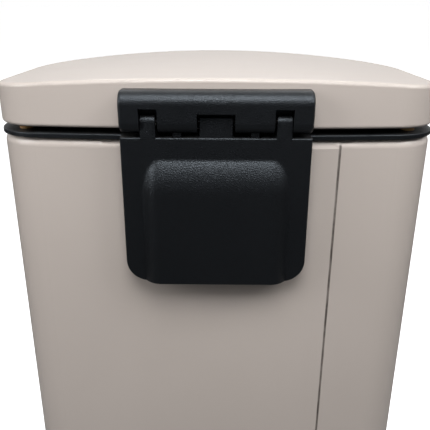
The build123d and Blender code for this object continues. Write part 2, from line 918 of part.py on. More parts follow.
# Flat-faced middle bearing that stands on the cover
with BuildPart() as centre_bearing:
    bearing_top = total_height - bearing_top_drop
    add(
        block(
            about(0, bearing_width),
            about(pin_y, 2 * bearing_half_depth),
            (cover_top, bearing_top),
        )
    )
    add(barrel(bearing_radius, cover_width), mode=Mode.SUBTRACT)
save(centre_bearing.part, "centre_bearing")

# Screws from inside the body through the backing plate into the cover
with BuildPart() as cover_screws:
    inner_face = body_inset + sheet
    seat = back - inner_face - sag(boss_spacing / 2 + screw_head_radius, inner_face)
    for z in boss_levels:
        add(screws(boss_places, z, seat, cover_screw_length))
save(cover_screws.part, "cover_screws")

# Damper cylinders side by side in the bulge
with BuildPart() as damper_cylinders:
    add(damper_cylinder_form)
    add(
        rods(
            [(x, pin_y) for x in heel_places],
            damper_top - plunger_depth - plunger_gap,
            damper_top,
            plunger_radius + running_clearance,
        ),
        mode=Mode.SUBTRACT,
    )
save(damper_cylinders.part, "damper_cylinders")

# Plungers that the bracket's heels press as the lid closes
with BuildPart() as damper_plungers:
    pad_top = pin_z - heel_reach - plunger_gap
    points = [(x, pin_y) for x in heel_places]
    add(rods(points, damper_top - plunger_depth, pad_top, plunger_radius))
    add(rods(points, pad_top - plunger_pad_thickness, pad_top, plunger_pad_radius))
save(damper_plungers.part, "damper_plungers")

# Clips that hold the cylinders off the backing plate
with BuildPart() as damper_clips:
    clip_low = damper_top - clip_offset - clip_length
    for x in heel_places:
        add(block(about(x, clip_width), (back - body_inset, pin_y), (clip_low, clip_low + clip_length)))
    add(prism(backing_inset, clip_low, clip_low + clip_length), mode=Mode.SUBTRACT)
    add(damper_cylinder_form, mode=Mode.SUBTRACT)
save(damper_clips.part, "damper_clips")
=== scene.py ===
"""Half-round pedal bin seen from behind: finishes, soft-moulded pieces, camera and studio light.

Metres, +Z up. The pedal faces -Y and the hinge +Y, as in the fixed frame that the script loads.
"""

import json
import logging
import math
from dataclasses import dataclass, field, replace
from enum import Enum
from functools import reduce
from typing import Callable, Sequence

import bmesh
import bpy
from mathutils import Matrix, Vector


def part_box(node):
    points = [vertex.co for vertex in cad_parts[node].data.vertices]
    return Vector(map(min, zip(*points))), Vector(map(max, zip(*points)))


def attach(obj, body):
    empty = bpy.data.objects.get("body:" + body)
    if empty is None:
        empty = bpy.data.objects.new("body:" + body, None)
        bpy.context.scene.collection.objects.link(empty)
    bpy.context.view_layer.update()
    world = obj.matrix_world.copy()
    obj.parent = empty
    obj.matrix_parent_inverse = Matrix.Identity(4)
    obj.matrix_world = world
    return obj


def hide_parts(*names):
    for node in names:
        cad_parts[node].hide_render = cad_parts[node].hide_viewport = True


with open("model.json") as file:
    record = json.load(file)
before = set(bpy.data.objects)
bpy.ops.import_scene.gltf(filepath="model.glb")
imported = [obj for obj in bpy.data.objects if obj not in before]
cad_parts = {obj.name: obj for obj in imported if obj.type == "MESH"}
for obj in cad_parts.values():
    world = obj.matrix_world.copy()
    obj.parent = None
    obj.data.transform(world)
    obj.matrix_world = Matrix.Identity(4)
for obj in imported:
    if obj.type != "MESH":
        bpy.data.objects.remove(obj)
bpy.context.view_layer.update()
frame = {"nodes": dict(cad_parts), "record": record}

Socket = bpy.types.NodeSocket
Number = float | Socket
Colour = tuple[float, float, float]
Place = tuple[float, float, float]
Span = tuple[float, float]

LOG = logging.getLogger("pedal_bin")
MM = 0.001
IMAGE_SIDE = 430.0
SENSOR_WIDTH = 36.0
BAR_SIDES = 64
WHITE = (1.0, 1.0, 1.0, 1.0)
BIN_MIDDLE: Place = (0.0, 0.05, 0.33)

# Places closer to each other than this count as the same.
NEAR = 0.1 * MM

# Nearly all values of a noise texture lie in the first span, and its colours lie round the middle.
NOISE_CORE: Span = (0.3, 0.7)
NOISE_MIDDLE: Colour = (0.5, 0.5, 0.5)
UNIT: Span = (0.0, 1.0)


class Body(str, Enum):
    """Rigid bodies of the bin that new pieces ride on."""

    STAND = "body"
    PEDAL = "pedal"


class Slot(str, Enum):
    """Material slots of the record."""

    PAINT = "taupe_paint"
    BLACK = "black_plastic"
    BUCKET = "bucket_plastic"
    AMBER = "amber_rubber"
    RUBBER = "black_rubber"
    ZINC = "zinc_steel"
    BRIGHT = "bright_steel"
    DARK = "black_steel"
    NYLON = "white_nylon"


def around(middle: float, spread: Span) -> Span:
    """Span around a value.

    Args:
        middle: The value.
        spread: How far the span's ends lie from it.

    Returns:
        The span.
    """
    return middle + spread[0], middle + spread[1]


@dataclass(frozen=True)
class Noise:
    """Settings of a noise texture; its scale is a share where the sheet is given a scale socket."""

    scale: float
    detail: float
    roughness: float = 0.5


class Sheet:
    """Adds, sets and links the nodes of one shader tree."""

    def __init__(self, tree: bpy.types.NodeTree) -> None:
        """Keep the tree and clear it.

        Args:
            tree: The node tree to fill.
        """
        self.tree = tree
        tree.nodes.clear()

    def add(self, kind: str, inputs: dict | None = None, **settings) -> bpy.types.Node:
        """Add a node.

        Args:
            kind: The node's type name without its "ShaderNode" start.
            inputs: Values or source sockets for the node's inputs, by name or number.
            settings: Properties of the node.

        Returns:
            The new node.
        """
        node = self.tree.nodes.new(kind if kind.startswith("NodeGroup") else f"ShaderNode{kind}")
        for name, value in settings.items():
            setattr(node, name, value)
        for name, value in (inputs or {}).items():
            if isinstance(value, Socket):
                self.tree.links.new(value, node.inputs[name])
            else:
                node.inputs[name].default_value = value
        return node

    def math(self, operation: str, *values: Number) -> Socket:
        """Add a Math node.

        Args:
            operation: Name of the operation.
            values: Numbers or sockets, in the order of the inputs.

        Returns:
            The node's result.
        """
        return self.add("Math", dict(enumerate(values)), operation=operation).outputs[0]

    def product(self, *factors: Number) -> Socket:
        """Multiply several values.

        Args:
            factors: Numbers or sockets.

        Returns:
            Their product.
        """
        return reduce(lambda left, right: self.math("MULTIPLY", left, right), factors)

    def vector(self, operation: str, inputs: dict) -> Socket:
        """Add a Vector Math node.

        Args:
            operation: Name of the operation.
            inputs: Values or source sockets, by name or number.

        Returns:
            The node's result.
        """
        return self.add("VectorMath", inputs, operation=operation).outputs[0]

    def noise(self, noise: Noise, place: Socket | None = None, scale: Socket | None = None,
              output: str = "Fac") -> Socket:
        """Add a noise texture.

        Args:
            noise: Its settings.
            place: The coordinates that it lies in, or None for those of the piece's own box.
            scale: A scale that the noise's own scale is a share of.
            output: Name of the output.

        Returns:
            The noise.
        """
        size = noise.scale if scale is None else self.product(scale, noise.scale)
        inputs = {"Scale": size, "Detail": noise.detail, "Roughness": noise.roughness}
        if place is not None:
            inputs["Vector"] = place
        return self.add("TexNoise", inputs).outputs[output]

    def remap(self, value: Socket, source: Span, target: Span = UNIT) -> Socket:
        """Map a value smoothly from one span to another.

        Args:
            value: The socket to map.
            source: The span that is read.
            target: The span that is put out.

        Returns:
            The mapped value.
        """
        inputs = {"Value": value, "From Min": source[0], "From Max": source[1],
                  "To Min": target[0], "To Max": target[1]}
        return self.add("MapRange", inputs, interpolation_type="SMOOTHSTEP").outputs["Result"]

    def blend(self, mask: Socket, low: Colour | Socket, high: Colour) -> Socket:
        """Blend two colours by a mask.

        Args:
            mask: 0 for the low colour, 1 for the high one.
            low: First colour, or a colour socket.
            high: Second colour.

        Returns:
            The blended colour.
        """
        first = low if isinstance(low, Socket) else (*low, 1.0)
        inputs = {"Factor": mask, 6: first, 7: (*high, 1.0)}
        return self.add("Mix", inputs, data_type="RGBA").outputs[2]


class GroupSheet(Sheet):
    """The sheet of a shader group with float sockets, laid out in Object coordinates."""

    def __init__(self, name: str, inputs: Sequence[str], outputs: Sequence[str]) -> None:
        """Start the group.

        Args:
            name: The group's name.
            inputs: Names of its inputs.
            outputs: Names of its outputs.
        """
        tree = bpy.data.node_groups.new(name, "ShaderNodeTree")
        for way, sockets in (("INPUT", inputs), ("OUTPUT", outputs)):
            for socket in sockets:
                tree.interface.new_socket(socket, in_out=way, socket_type="NodeSocketFloat")
        super().__init__(tree)
        source, target = self.add("NodeGroupInput"), self.add("NodeGroupOutput")
        self.given = {key: source.outputs[key] for key in inputs}
        self.wanted = {key: target.inputs[key] for key in outputs}
        self.place = self.add("TexCoord").outputs["Object"]

    def finish(self, **results: Socket) -> bpy.types.NodeTree:
        """Link the results to the group's outputs.

        Args:
            results: The results, by the names of the outputs.

        Returns:
            The group's tree.
        """
        for name, result in results.items():
            self.tree.links.new(result, self.wanted[name])
        return self.tree


@dataclass(frozen=True)
class Grain:
    """Leather-like grain of a moulded surface."""

    warp: Noise = Noise(0.45, 2.0)
    warp_reach: float = 1.2 * MM
    ridge_span: Span = (0.02, 0.32)
    ridge_share: float = 0.65
    fine: Noise = Noise(2.6, 3.0)
    fine_share: float = 0.35

    def group(self) -> bpy.types.NodeTree:
        """Build the shader group.

        Returns:
            Group with the input Cells and the outputs Height and Pits.
        """
        sheet = GroupSheet("Moulded grain", ["Cells"], ["Height", "Pits"])
        place, scale = sheet.place, sheet.given["Cells"]
        warp = sheet.noise(self.warp, place, scale, "Color")
        bend = sheet.vector("SUBTRACT", {0: warp, 1: NOISE_MIDDLE})
        small = sheet.vector("SCALE", {0: bend, "Scale": self.warp_reach})
        moved = sheet.vector("ADD", {0: place, 1: small})
        cells = sheet.add("TexVoronoi", {"Vector": moved, "Scale": scale},
                          feature="DISTANCE_TO_EDGE")
        ridge = sheet.remap(cells.outputs["Distance"], self.ridge_span)
        fine = sheet.product(sheet.noise(self.fine, place, scale), self.fine_share)
        height = sheet.math("ADD", sheet.product(ridge, self.ridge_share), fine)
        return sheet.finish(Height=height, Pits=sheet.math("SUBTRACT", 1.0, ridge))


@dataclass(frozen=True)
class Skin:
    """Faint waviness and clouded tone of a sprayed or polished skin."""

    peel: Noise = Noise(1.0, 2.5, 0.45)
    peel_share: float = 0.75
    speck: Noise = Noise(6.0, 2.0)
    speck_share: float = 0.25
    cloud: Noise = Noise(9.0, 4.0, 0.55)
    cloud_span: Span = (0.32, 0.68)

    def group(self) -> bpy.types.NodeTree:
        """Build the shader group.

        Returns:
            Group with the input Waves and the outputs Height and Tone.
        """
        sheet = GroupSheet("Sprayed skin", ["Waves"], ["Height", "Tone"])
        place, waves = sheet.place, sheet.given["Waves"]
        peel = sheet.product(sheet.noise(self.peel, place, waves), self.peel_share)
        speck = sheet.product(sheet.noise(self.speck, place, waves), self.speck_share)
        tone = sheet.remap(sheet.noise(self.cloud, place), self.cloud_span)
        return sheet.finish(Height=sheet.math("ADD", peel, speck), Tone=tone)


@dataclass(frozen=True)
class Dust:
    """Fine dust that settles on surfaces that face upwards."""

    upward_span: Span = (0.35, 1.0)
    cloud: Noise = Noise(24.0, 5.0)
    cloud_span: Span = (0.35, 0.75)
    cloud_depth: Span = (0.25, 1.0)
    grit: Noise = Noise(2600.0, 1.0)
    grit_span: Span = (0.45, 0.75)
    grit_depth: Span = (0.35, 1.0)

    def group(self) -> bpy.types.NodeTree:
        """Build the shader group.

        Returns:
            Group with the input Amount and the output Mask.
        """
        sheet = GroupSheet("Settled dust", ["Amount"], ["Mask"])
        normal = sheet.add("SeparateXYZ", {0: sheet.add("NewGeometry").outputs["Normal"]})
        upward = sheet.remap(normal.outputs["Z"], self.upward_span)
        cloud = sheet.remap(sheet.noise(self.cloud, sheet.place), self.cloud_span, self.cloud_depth)
        grit = sheet.remap(sheet.noise(self.grit, sheet.place), self.grit_span, self.grit_depth)
        return sheet.finish(Mask=sheet.product(cloud, grit, upward, sheet.given["Amount"]))


@dataclass(frozen=True)
class Brush:
    """Long fine lines of drawn or brushed metal."""

    lines: Noise = Noise(1.0, 3.0)

    def group(self) -> bpy.types.NodeTree:
        """Build the shader group.

        Returns:
            Group with the inputs Fineness, Along X, Along Y and Along Z and the output Lines.
        """
        ways = ["Along X", "Along Y", "Along Z"]
        sheet = GroupSheet("Drawn lines", ["Fineness", *ways], ["Lines"])
        stretch = sheet.add("CombineXYZ", {i: sheet.given[way] for i, way in enumerate(ways)})
        drawn = sheet.vector("MULTIPLY", {0: sheet.place, 1: stretch.outputs[0]})
        return sheet.finish(Lines=sheet.noise(self.lines, drawn, sheet.given["Fineness"]))


@dataclass(frozen=True)
class Scuff:
    """Sparse faint rubs and hairlines from handling."""

    turn: Place = (0.4, 0.9, 0.3)
    stretch: Place = (26.0, 340.0, 340.0)
    hair: Noise = Noise(1.0, 3.0)
    hair_span: Span = (0.66, 0.74)
    patch: Noise = Noise(17.0, 3.0)
    patch_span: Span = (0.5, 0.66)

    def group(self) -> bpy.types.NodeTree:
        """Build the shader group.

        Returns:
            Group with the input Amount and the output Mask.
        """
        sheet = GroupSheet("Handling rubs", ["Amount"], ["Mask"])
        turned = sheet.add("Mapping", {"Vector": sheet.place, "Rotation": self.turn,
                                       "Scale": self.stretch})
        hair = sheet.remap(sheet.noise(self.hair, turned.outputs[0]), self.hair_span)
        patch = sheet.remap(sheet.noise(self.patch, sheet.place), self.patch_span)
        return sheet.finish(Mask=sheet.product(hair, patch, sheet.given["Amount"]))


class Effects:
    """Shader groups that several finishes share, each built once."""

    def __init__(self) -> None:
        """Build the groups."""
        self.grain = Grain().group()
        self.skin = Skin().group()
        self.dust = Dust().group()
        self.brush = Brush().group()
        self.scuff = Scuff().group()


class Surface:
    """One material under work: its sheet, its Principled shader and the shared effects."""

    def __init__(self, name: str, effects: Effects) -> None:
        """Start a material.

        Args:
            name: The material's name.
            effects: The shared effect groups.
        """
        self.material = bpy.data.materials.new(name)
        self.material.use_nodes = True
        self.sheet = Sheet(self.material.node_tree)
        self.effects = effects
        self.shader = self.sheet.add("BsdfPrincipled")
        self.sheet.add("OutputMaterial", {"Surface": self.shader.outputs[0]})

    def skin(self, waves: float) -> tuple[Socket, Socket]:
        """Place the skin.

        Args:
            waves: Its waves in a metre.

        Returns:
            Its height and its tone.
        """
        skin = self._group(self.effects.skin, {"Waves": waves})
        return skin["Height"], skin["Tone"]

    def grain(self, cells: float) -> tuple[Socket, Socket]:
        """Place the grain.

        Args:
            cells: Its cells in a metre.

        Returns:
            Its height and its pits.
        """
        grain = self._group(self.effects.grain, {"Cells": cells})
        return grain["Height"], grain["Pits"]

    def dust(self, amount: float) -> Socket:
        """Place the dust.

        Args:
            amount: How much there is, from 0 to 1.

        Returns:
            Its mask.
        """
        return self._group(self.effects.dust, {"Amount": amount})["Mask"]

    def scuff(self, amount: float) -> Socket:
        """Place the rubs and hairlines.

        Args:
            amount: How strong they are, from 0 to 1.

        Returns:
            Their mask.
        """
        return self._group(self.effects.scuff, {"Amount": amount})["Mask"]

    def brush(self, fineness: float, along: Place) -> Socket:
        """Place the drawn lines.

        Args:
            fineness: Their number in a metre.
            along: Share of the fineness along X, Y and Z.

        Returns:
            The lines.
        """
        inputs = {"Fineness": fineness, "Along X": along[0], "Along Y": along[1],
                  "Along Z": along[2]}
        return self._group(self.effects.brush, inputs)["Lines"]

    def _group(self, tree: bpy.types.NodeTree, inputs: dict[str, float]) -> bpy.types.NodeOutputs:
        """Place a group.

        Args:
            tree: The group.
            inputs: Its inputs.

        Returns:
            Its outputs.
        """
        return self.sheet.add("Group", inputs, node_tree=tree).outputs

    def fixed(self, **values: float | tuple[float, ...]) -> None:
        """Set constants on the shader's own sockets.

        Args:
            values: The constants, by the sockets' names with an underscore for each space.
        """
        for name, value in values.items():
            self.shader.inputs[name.replace("_", " ")].default_value = value

    def drive(self, name: str, source: Socket) -> None:
        """Link a socket to one of the shader's inputs.

        Args:
            name: The input's name.
            source: The socket.
        """
        self.sheet.tree.links.new(source, self.shader.inputs[name])

    def bump(self, *layers: tuple[Socket, float]) -> None:
        """Stack bumps on the shader's normal.

        Args:
            layers: Pairs of a height and its real depth in metres.
        """
        below = {}
        for height, depth in layers:
            inputs = {"Height": height, "Distance": depth, "Strength": 1.0, **below}
            below = {"Normal": self.sheet.add("Bump", inputs).outputs[0]}
        self.drive("Normal", below["Normal"])


@dataclass(frozen=True)
class Paint:
    """Satin sprayed paint on steel sheet.

    The seam, where there is one, is the middle and half the width in X of a line of painted shadow
    in the lap seam.
    """

    name: str
    colour: Colour
    shade: Colour
    dust: Colour = (0.62, 0.59, 0.55)
    dust_amount: float = 0.16
    dust_roughness: float = 0.3
    scuff_amount: float = 0.5
    scuff_roughness: float = 0.16
    roughness: float = 0.38
    roughness_spread: Span = (-0.03, 0.04)
    coat: float = 0.3
    coat_roughness: float = 0.28
    waves: float = 380.0
    peel_depth: float = 0.01 * MM
    seam: Span | None = None
    # Painted shadow in the lap seam: its colour, its fade across the line, its noise, how dark it
    # gets and where it stops at the top.
    seam_shade: Colour = (0.1, 0.085, 0.075)
    seam_edge: Span = (1.35, 0.75)
    seam_shadow_noise: Noise = Noise(60.0, 3.0)
    seam_depth: Span = (0.6, 0.95)
    seam_top: float = 387.5 * MM
    seam_fade: float = 2.0 * MM

    def material(self, effects: Effects) -> bpy.types.Material:
        """Build the material.

        Args:
            effects: The shared effect groups.

        Returns:
            The material.
        """
        surface = Surface(self.name, effects)
        sheet = surface.sheet
        height, tone = surface.skin(self.waves)
        dust = surface.dust(self.dust_amount)
        scuff = surface.scuff(self.scuff_amount)
        painted = sheet.blend(dust, sheet.blend(tone, self.shade, self.colour), self.dust)
        # Painted shade: the lap seam's line is darkened to stand in for the shadow in its groove.
        if self.seam:
            painted = sheet.blend(self._seam_shadow_mask(sheet), painted, self.seam_shade)
        surface.drive("Base Color", painted)
        rough = sheet.remap(tone, UNIT, around(self.roughness, self.roughness_spread))
        worn = sheet.math("ADD", rough, sheet.product(scuff, self.scuff_roughness))
        dusty = sheet.math("ADD", worn, sheet.product(dust, self.dust_roughness))
        surface.drive("Roughness", dusty)
        surface.fixed(Coat_Weight=self.coat, Coat_Roughness=self.coat_roughness)
        surface.bump((height, self.peel_depth))
        return surface.material

    def _seam_shadow_mask(self, sheet: Sheet) -> Socket:
        """Mask of the shadow painted into the lap seam on the back.

        Args:
            sheet: The material's sheet.

        Returns:
            Up to 1 in the seam, 0 beside it and above its top.
        """
        place = sheet.add("SeparateXYZ", {0: sheet.add("TexCoord").outputs["Object"]}).outputs
        middle, half = self.seam
        outer, inner = self.seam_edge
        off = sheet.math("ABSOLUTE", sheet.math("SUBTRACT", place["X"], middle))
        line = sheet.remap(off, (half * outer, half * inner))
        rear = sheet.math("GREATER_THAN", place["Y"], 0.0)
        depth = sheet.remap(sheet.noise(self.seam_shadow_noise), NOISE_CORE, self.seam_depth)
        below = sheet.remap(place["Z"], (self.seam_top + self.seam_fade, self.seam_top))
        return sheet.product(line, rear, depth, below)


@dataclass(frozen=True)
class Plastic:
    """Moulded plastic, grained or smooth."""

    name: str
    colour: Colour
    rubbed: Colour
    dust: Colour = (0.3, 0.29, 0.27)
    dust_amount: float = 0.08
    scuff_amount: float = 0.6
    roughness: float = 0.3
    pit_roughness: float = 0.12
    gloss: float = 0.5
    gloss_tint: Colour = (0.8, 0.9, 1.0)
    waves: float = 160.0
    wave_depth: float = 0.015 * MM
    cells: float = 820.0
    grain_depth: float = 0.1 * MM

    def material(self, effects: Effects) -> bpy.types.Material:
        """Build the material.

        Args:
            effects: The shared effect groups.

        Returns:
            The material.
        """
        surface = Surface(self.name, effects)
        sheet = surface.sheet
        grain, pits = surface.grain(self.cells)
        height, tone = surface.skin(self.waves)
        dust = surface.dust(self.dust_amount)
        scuff = surface.scuff(self.scuff_amount)
        rubbed = sheet.blend(scuff, sheet.blend(tone, self.colour, self.rubbed), self.rubbed)
        surface.drive("Base Color", sheet.blend(dust, rubbed, self.dust))
        rough = sheet.math("ADD", sheet.product(pits, self.pit_roughness), self.roughness)
        surface.drive("Roughness", sheet.math("ADD", rough, dust))
        surface.fixed(Specular_IOR_Level=self.gloss, Specular_Tint=(*self.gloss_tint, 1.0))
        surface.bump((height, self.wave_depth), (grain, self.grain_depth))
        return surface.material


@dataclass(frozen=True)
class Rubber:
    """Soft moulded rubber with a dull skin."""

    name: str
    colour: Colour
    bloom: Colour
    dust_amount: float = 0.35
    roughness: float = 0.62
    roughness_spread: Span = (-0.06, 0.08)
    waves: float = 900.0
    wave_depth: float = 0.05 * MM
    soft: float = 0.0
    soft_reach: float = 2.0 * MM

    def material(self, effects: Effects) -> bpy.types.Material:
        """Build the material.

        Args:
            effects: The shared effect groups.

        Returns:
            The material.
        """
        surface = Surface(self.name, effects)
        sheet = surface.sheet
        height, tone = surface.skin(self.waves)
        dust = surface.dust(self.dust_amount)
        toned = sheet.blend(tone, self.colour, self.bloom)
        surface.drive("Base Color", sheet.blend(dust, toned, self.bloom))
        spread = around(self.roughness, self.roughness_spread)
        surface.drive("Roughness", sheet.remap(height, NOISE_CORE, spread))
        surface.fixed(Subsurface_Weight=self.soft, Subsurface_Scale=self.soft_reach)
        surface.bump((height, self.wave_depth))
        return surface.material


@dataclass(frozen=True)
class Metal:
    """Plated or drawn steel."""

    name: str
    colour: Colour
    stain: Colour
    roughness: float = 0.3
    roughness_spread: Span = (-0.08, 0.12)
    fineness: float = 2200.0
    along: Place = (0.03, 1.0, 1.0)
    line_depth: float = 0.012 * MM
    waves: float = 240.0
    wave_depth: float = 0.01 * MM

    def material(self, effects: Effects) -> bpy.types.Material:
        """Build the material.

        Args:
            effects: The shared effect groups.

        Returns:
            The material.
        """
        surface = Surface(self.name, effects)
        sheet = surface.sheet
        lines = surface.brush(self.fineness, self.along)
        height, tone = surface.skin(self.waves)
        surface.drive("Base Color", sheet.blend(tone, self.stain, self.colour))
        spread = around(self.roughness, self.roughness_spread)
        surface.drive("Roughness", sheet.remap(lines, NOISE_CORE, spread))
        surface.fixed(Metallic=1.0)
        surface.bump((lines, self.line_depth), (height, self.wave_depth))
        return surface.material


def deselect_all() -> None:
    """Leave no object selected or in edit mode."""
    if bpy.context.object and bpy.context.object.mode != "OBJECT":
        bpy.ops.object.mode_set(mode="OBJECT")
    bpy.ops.object.select_all(action="DESELECT")


class Bench:
    """One mesh piece under work, shaped with the usual operators."""

    def __init__(self, name: str) -> None:
        """Take the primitive that was added last.

        Args:
            name: The piece's name.
        """
        self.obj = bpy.context.object
        self.obj.name = name
        self.obj.data.name = name
        bpy.ops.object.transform_apply(location=True, rotation=True, scale=True)

    @classmethod
    def box(cls, name: str, low: Sequence[float], high: Sequence[float]) -> "Bench":
        """Start from a box.

        Args:
            name: The piece's name.
            low: Lowest corner.
            high: Highest corner.

        Returns:
            The piece.
        """
        deselect_all()
        corners = (Vector(low), Vector(high))
        bpy.ops.mesh.primitive_cube_add(size=1.0, location=(corners[0] + corners[1]) / 2,
                                        scale=corners[1] - corners[0])
        return cls(name)

    @classmethod
    def bar(cls, name: str, centre: Sequence[float], radius: float, length: float) -> "Bench":
        """Start from a round bar that lies along X.

        Args:
            name: The piece's name.
            centre: Middle of the bar.
            radius: Its radius.
            length: Its length.

        Returns:
            The piece.
        """
        deselect_all()
        bpy.ops.mesh.primitive_cylinder_add(vertices=BAR_SIDES, radius=radius, depth=length,
                                            location=centre, rotation=(0.0, math.pi / 2, 0.0))
        return cls(name)

    def _edit(self) -> None:
        """Enter edit mode."""
        bpy.context.view_layer.objects.active = self.obj
        bpy.ops.object.mode_set(mode="EDIT")

    def _leave(self) -> None:
        """Go back to object mode."""
        bpy.ops.object.mode_set(mode="OBJECT")

    def _choose(self) -> None:
        """Make the piece the only one that is selected, and the active one."""
        deselect_all()
        self.obj.select_set(True)
        bpy.context.view_layer.objects.active = self.obj

    def _pick(self, kind: str, test: Callable) -> None:
        """Enter edit mode with only the chosen parts selected.

        Args:
            kind: EDGE or FACE.
            test: Says of each part whether it is chosen.
        """
        self._edit()
        bpy.ops.mesh.select_mode(type=kind)
        bpy.ops.mesh.select_all(action="DESELECT")
        mesh = bmesh.from_edit_mesh(self.obj.data)
        for part in {"EDGE": mesh.edges, "FACE": mesh.faces}[kind]:
            part.select = test(part)
        mesh.select_flush_mode()
        bmesh.update_edit_mesh(self.obj.data)

    def pick_edges(self, test: Callable[[Vector, Vector], bool]) -> None:
        """Select edges.

        Args:
            test: Says by an edge's two ends whether it is chosen.
        """
        self._pick("EDGE", lambda edge: test(edge.verts[0].co, edge.verts[1].co))

    def pick_faces(self, test: Callable[[Vector], bool]) -> None:
        """Select faces.

        Args:
            test: Says by a face's normal whether it is chosen.
        """
        self._pick("FACE", lambda face: test(face.normal))

    def bevel(self, width: float, segments: int) -> None:
        """Round the selected edges.

        Args:
            width: Width of the round.
            segments: Number of its strips.
        """
        bpy.ops.mesh.bevel(offset=width, offset_type="OFFSET", segments=segments, profile=0.5,
                           affect="EDGES", clamp_overlap=True)
        self._leave()

    def cut_across(self, axis: Sequence[float], places: Sequence[float]) -> None:
        """Cut the whole mesh across an axis at several places, without parting it.

        Args:
            axis: The axis, as a vector of length 1.
            places: Places along the axis.
        """
        self._edit()
        for place in places:
            bpy.ops.mesh.select_all(action="SELECT")
            bpy.ops.mesh.bisect(plane_co=Vector(axis) * place, plane_no=axis)
        self._leave()

    def delete_faces(self) -> None:
        """Delete the selected faces."""
        bpy.ops.mesh.delete(type="FACE")
        self._leave()

    def modify(self, kind: str, **settings) -> None:
        """Add a modifier and apply it.

        Args:
            kind: The modifier's type.
            settings: Its properties.
        """
        self._choose()
        modifier = self.obj.modifiers.new(kind.title(), kind)
        for name, value in settings.items():
            setattr(modifier, name, value)
        bpy.ops.object.modifier_apply(modifier=modifier.name)

    def combine(self, other: "Bench", operation: str) -> None:
        """Join or cut with another piece, which is used up.

        Args:
            other: The other piece.
            operation: UNION or DIFFERENCE.
        """
        self.modify("BOOLEAN", operation=operation, solver="MANIFOLD", object=other.obj)
        bpy.data.objects.remove(other.obj)

    def weigh(self, name: str, weight: Callable[[Vector], float]) -> None:
        """Give each vertex a weight in a vertex group.

        Args:
            name: The group's name.
            weight: The weight at a place, from 0 to 1.
        """
        group = self.obj.vertex_groups.new(name=name)
        for vertex in self.obj.data.vertices:
            group.add([vertex.index], weight(vertex.co), "REPLACE")

    def reshape(self, move: Callable[[Vector], Vector]) -> None:
        """Move each vertex.

        Args:
            move: Gives a vertex's new place from its old one.
        """
        for vertex in self.obj.data.vertices:
            vertex.co = move(vertex.co.copy())

    def place(self, body: Body, slot: Slot, material: bpy.types.Material,
              stands_for: Sequence[str], sharp: float = 35.0) -> None:
        """Finish the piece: smooth it, dress it and let it ride.

        Args:
            body: The body that it rides on.
            slot: The record's slot of its finish; not used.
            material: Its material.
            stands_for: CAD nodes that it replaces.
            sharp: Edges sharper than this many degrees stay sharp.
        """
        self._choose()
        bpy.ops.object.shade_smooth_by_angle(angle=math.radians(sharp))
        self.obj.data.materials.clear()
        self.obj.data.materials.append(material)
        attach(self.obj, body.value)
        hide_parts(*stands_for)
        LOG.info("%s: %d faces on %s", self.obj.name, len(self.obj.data.polygons), body.value)


@dataclass
class Wardrobe:
    """The bin's finishes, one material for each slot.

    The paint of one node also has shadow painted into its lap seam, and some nodes have
    their normals evened so that the light runs smoothly along their edges.
    """

    effects: Effects
    # The body's shell gets a line of painted shadow in its lap seam at this X.
    seamed: str = "body_shell"
    seam: Span = (-79.0 * MM, 0.75 * MM)
    evened: tuple[str, ...] = ("lid_shell", "body_shell", "rim_ring")
    evened_weight: int = 80
    materials: dict[Slot, bpy.types.Material] = field(default_factory=dict)

    def __post_init__(self) -> None:
        """Build every material, dress the CAD nodes with them and even their light."""
        finishes = {
            Slot.PAINT: Paint("Taupe paint", (0.52, 0.463, 0.425), (0.505, 0.449, 0.411)),
            Slot.BLACK: Plastic("Grained black plastic", (0.003, 0.0032, 0.0039),
                                (0.0042, 0.0045, 0.0053)),
            Slot.BUCKET: Plastic("Bucket plastic", (0.028, 0.028, 0.03), (0.04, 0.04, 0.042),
                                 roughness=0.5, cells=1500.0, grain_depth=0.03 * MM),
            Slot.AMBER: Rubber("Amber rubber", (0.5, 0.27, 0.1), (0.58, 0.36, 0.17),
                               roughness=0.45, soft=0.2),
            Slot.RUBBER: Rubber("Black rubber", (0.016, 0.016, 0.017), (0.04, 0.04, 0.04)),
            Slot.ZINC: Metal("Zinc-plated steel", (0.6, 0.6, 0.61), (0.5, 0.5, 0.5),
                             roughness=0.34),
            Slot.BRIGHT: Metal("Bright steel", (0.75, 0.75, 0.77), (0.66, 0.66, 0.68),
                               roughness=0.2, fineness=900.0, along=(1.0, 1.0, 1.0),
                               line_depth=0.004 * MM),
            Slot.DARK: Metal("Blackened steel", (0.012, 0.012, 0.013), (0.02, 0.02, 0.021),
                             roughness=0.6),
            Slot.NYLON: Plastic("White nylon", (0.74, 0.73, 0.68), (0.68, 0.66, 0.6),
                                roughness=0.35, cells=1200.0, grain_depth=0.02 * MM,
                                dust_amount=0.05),
        }
        for slot, finish in finishes.items():
            self.materials[slot] = finish.material(self.effects)
        paint = replace(finishes[Slot.PAINT], name="Taupe paint with seam shadow", seam=self.seam)
        special = {self.seamed: paint.material(self.effects)}
        for entry in frame["record"]["subparts"]:
            material = special.get(entry["node"], self[Slot(entry["material_slot"])])
            for holder in frame["nodes"][entry["node"]].material_slots:
                holder.material = material
        for node in self.evened:
            modifier = frame["nodes"][node].modifiers.new("Even normals", "WEIGHTED_NORMAL")
            modifier.mode = "FACE_AREA"
            modifier.weight = self.evened_weight

    def __getitem__(self, slot: Slot) -> bpy.types.Material:
        """Look up a material.

        Args:
            slot: The material's slot.

        Returns:
            The material.
        """
        return self.materials[slot]


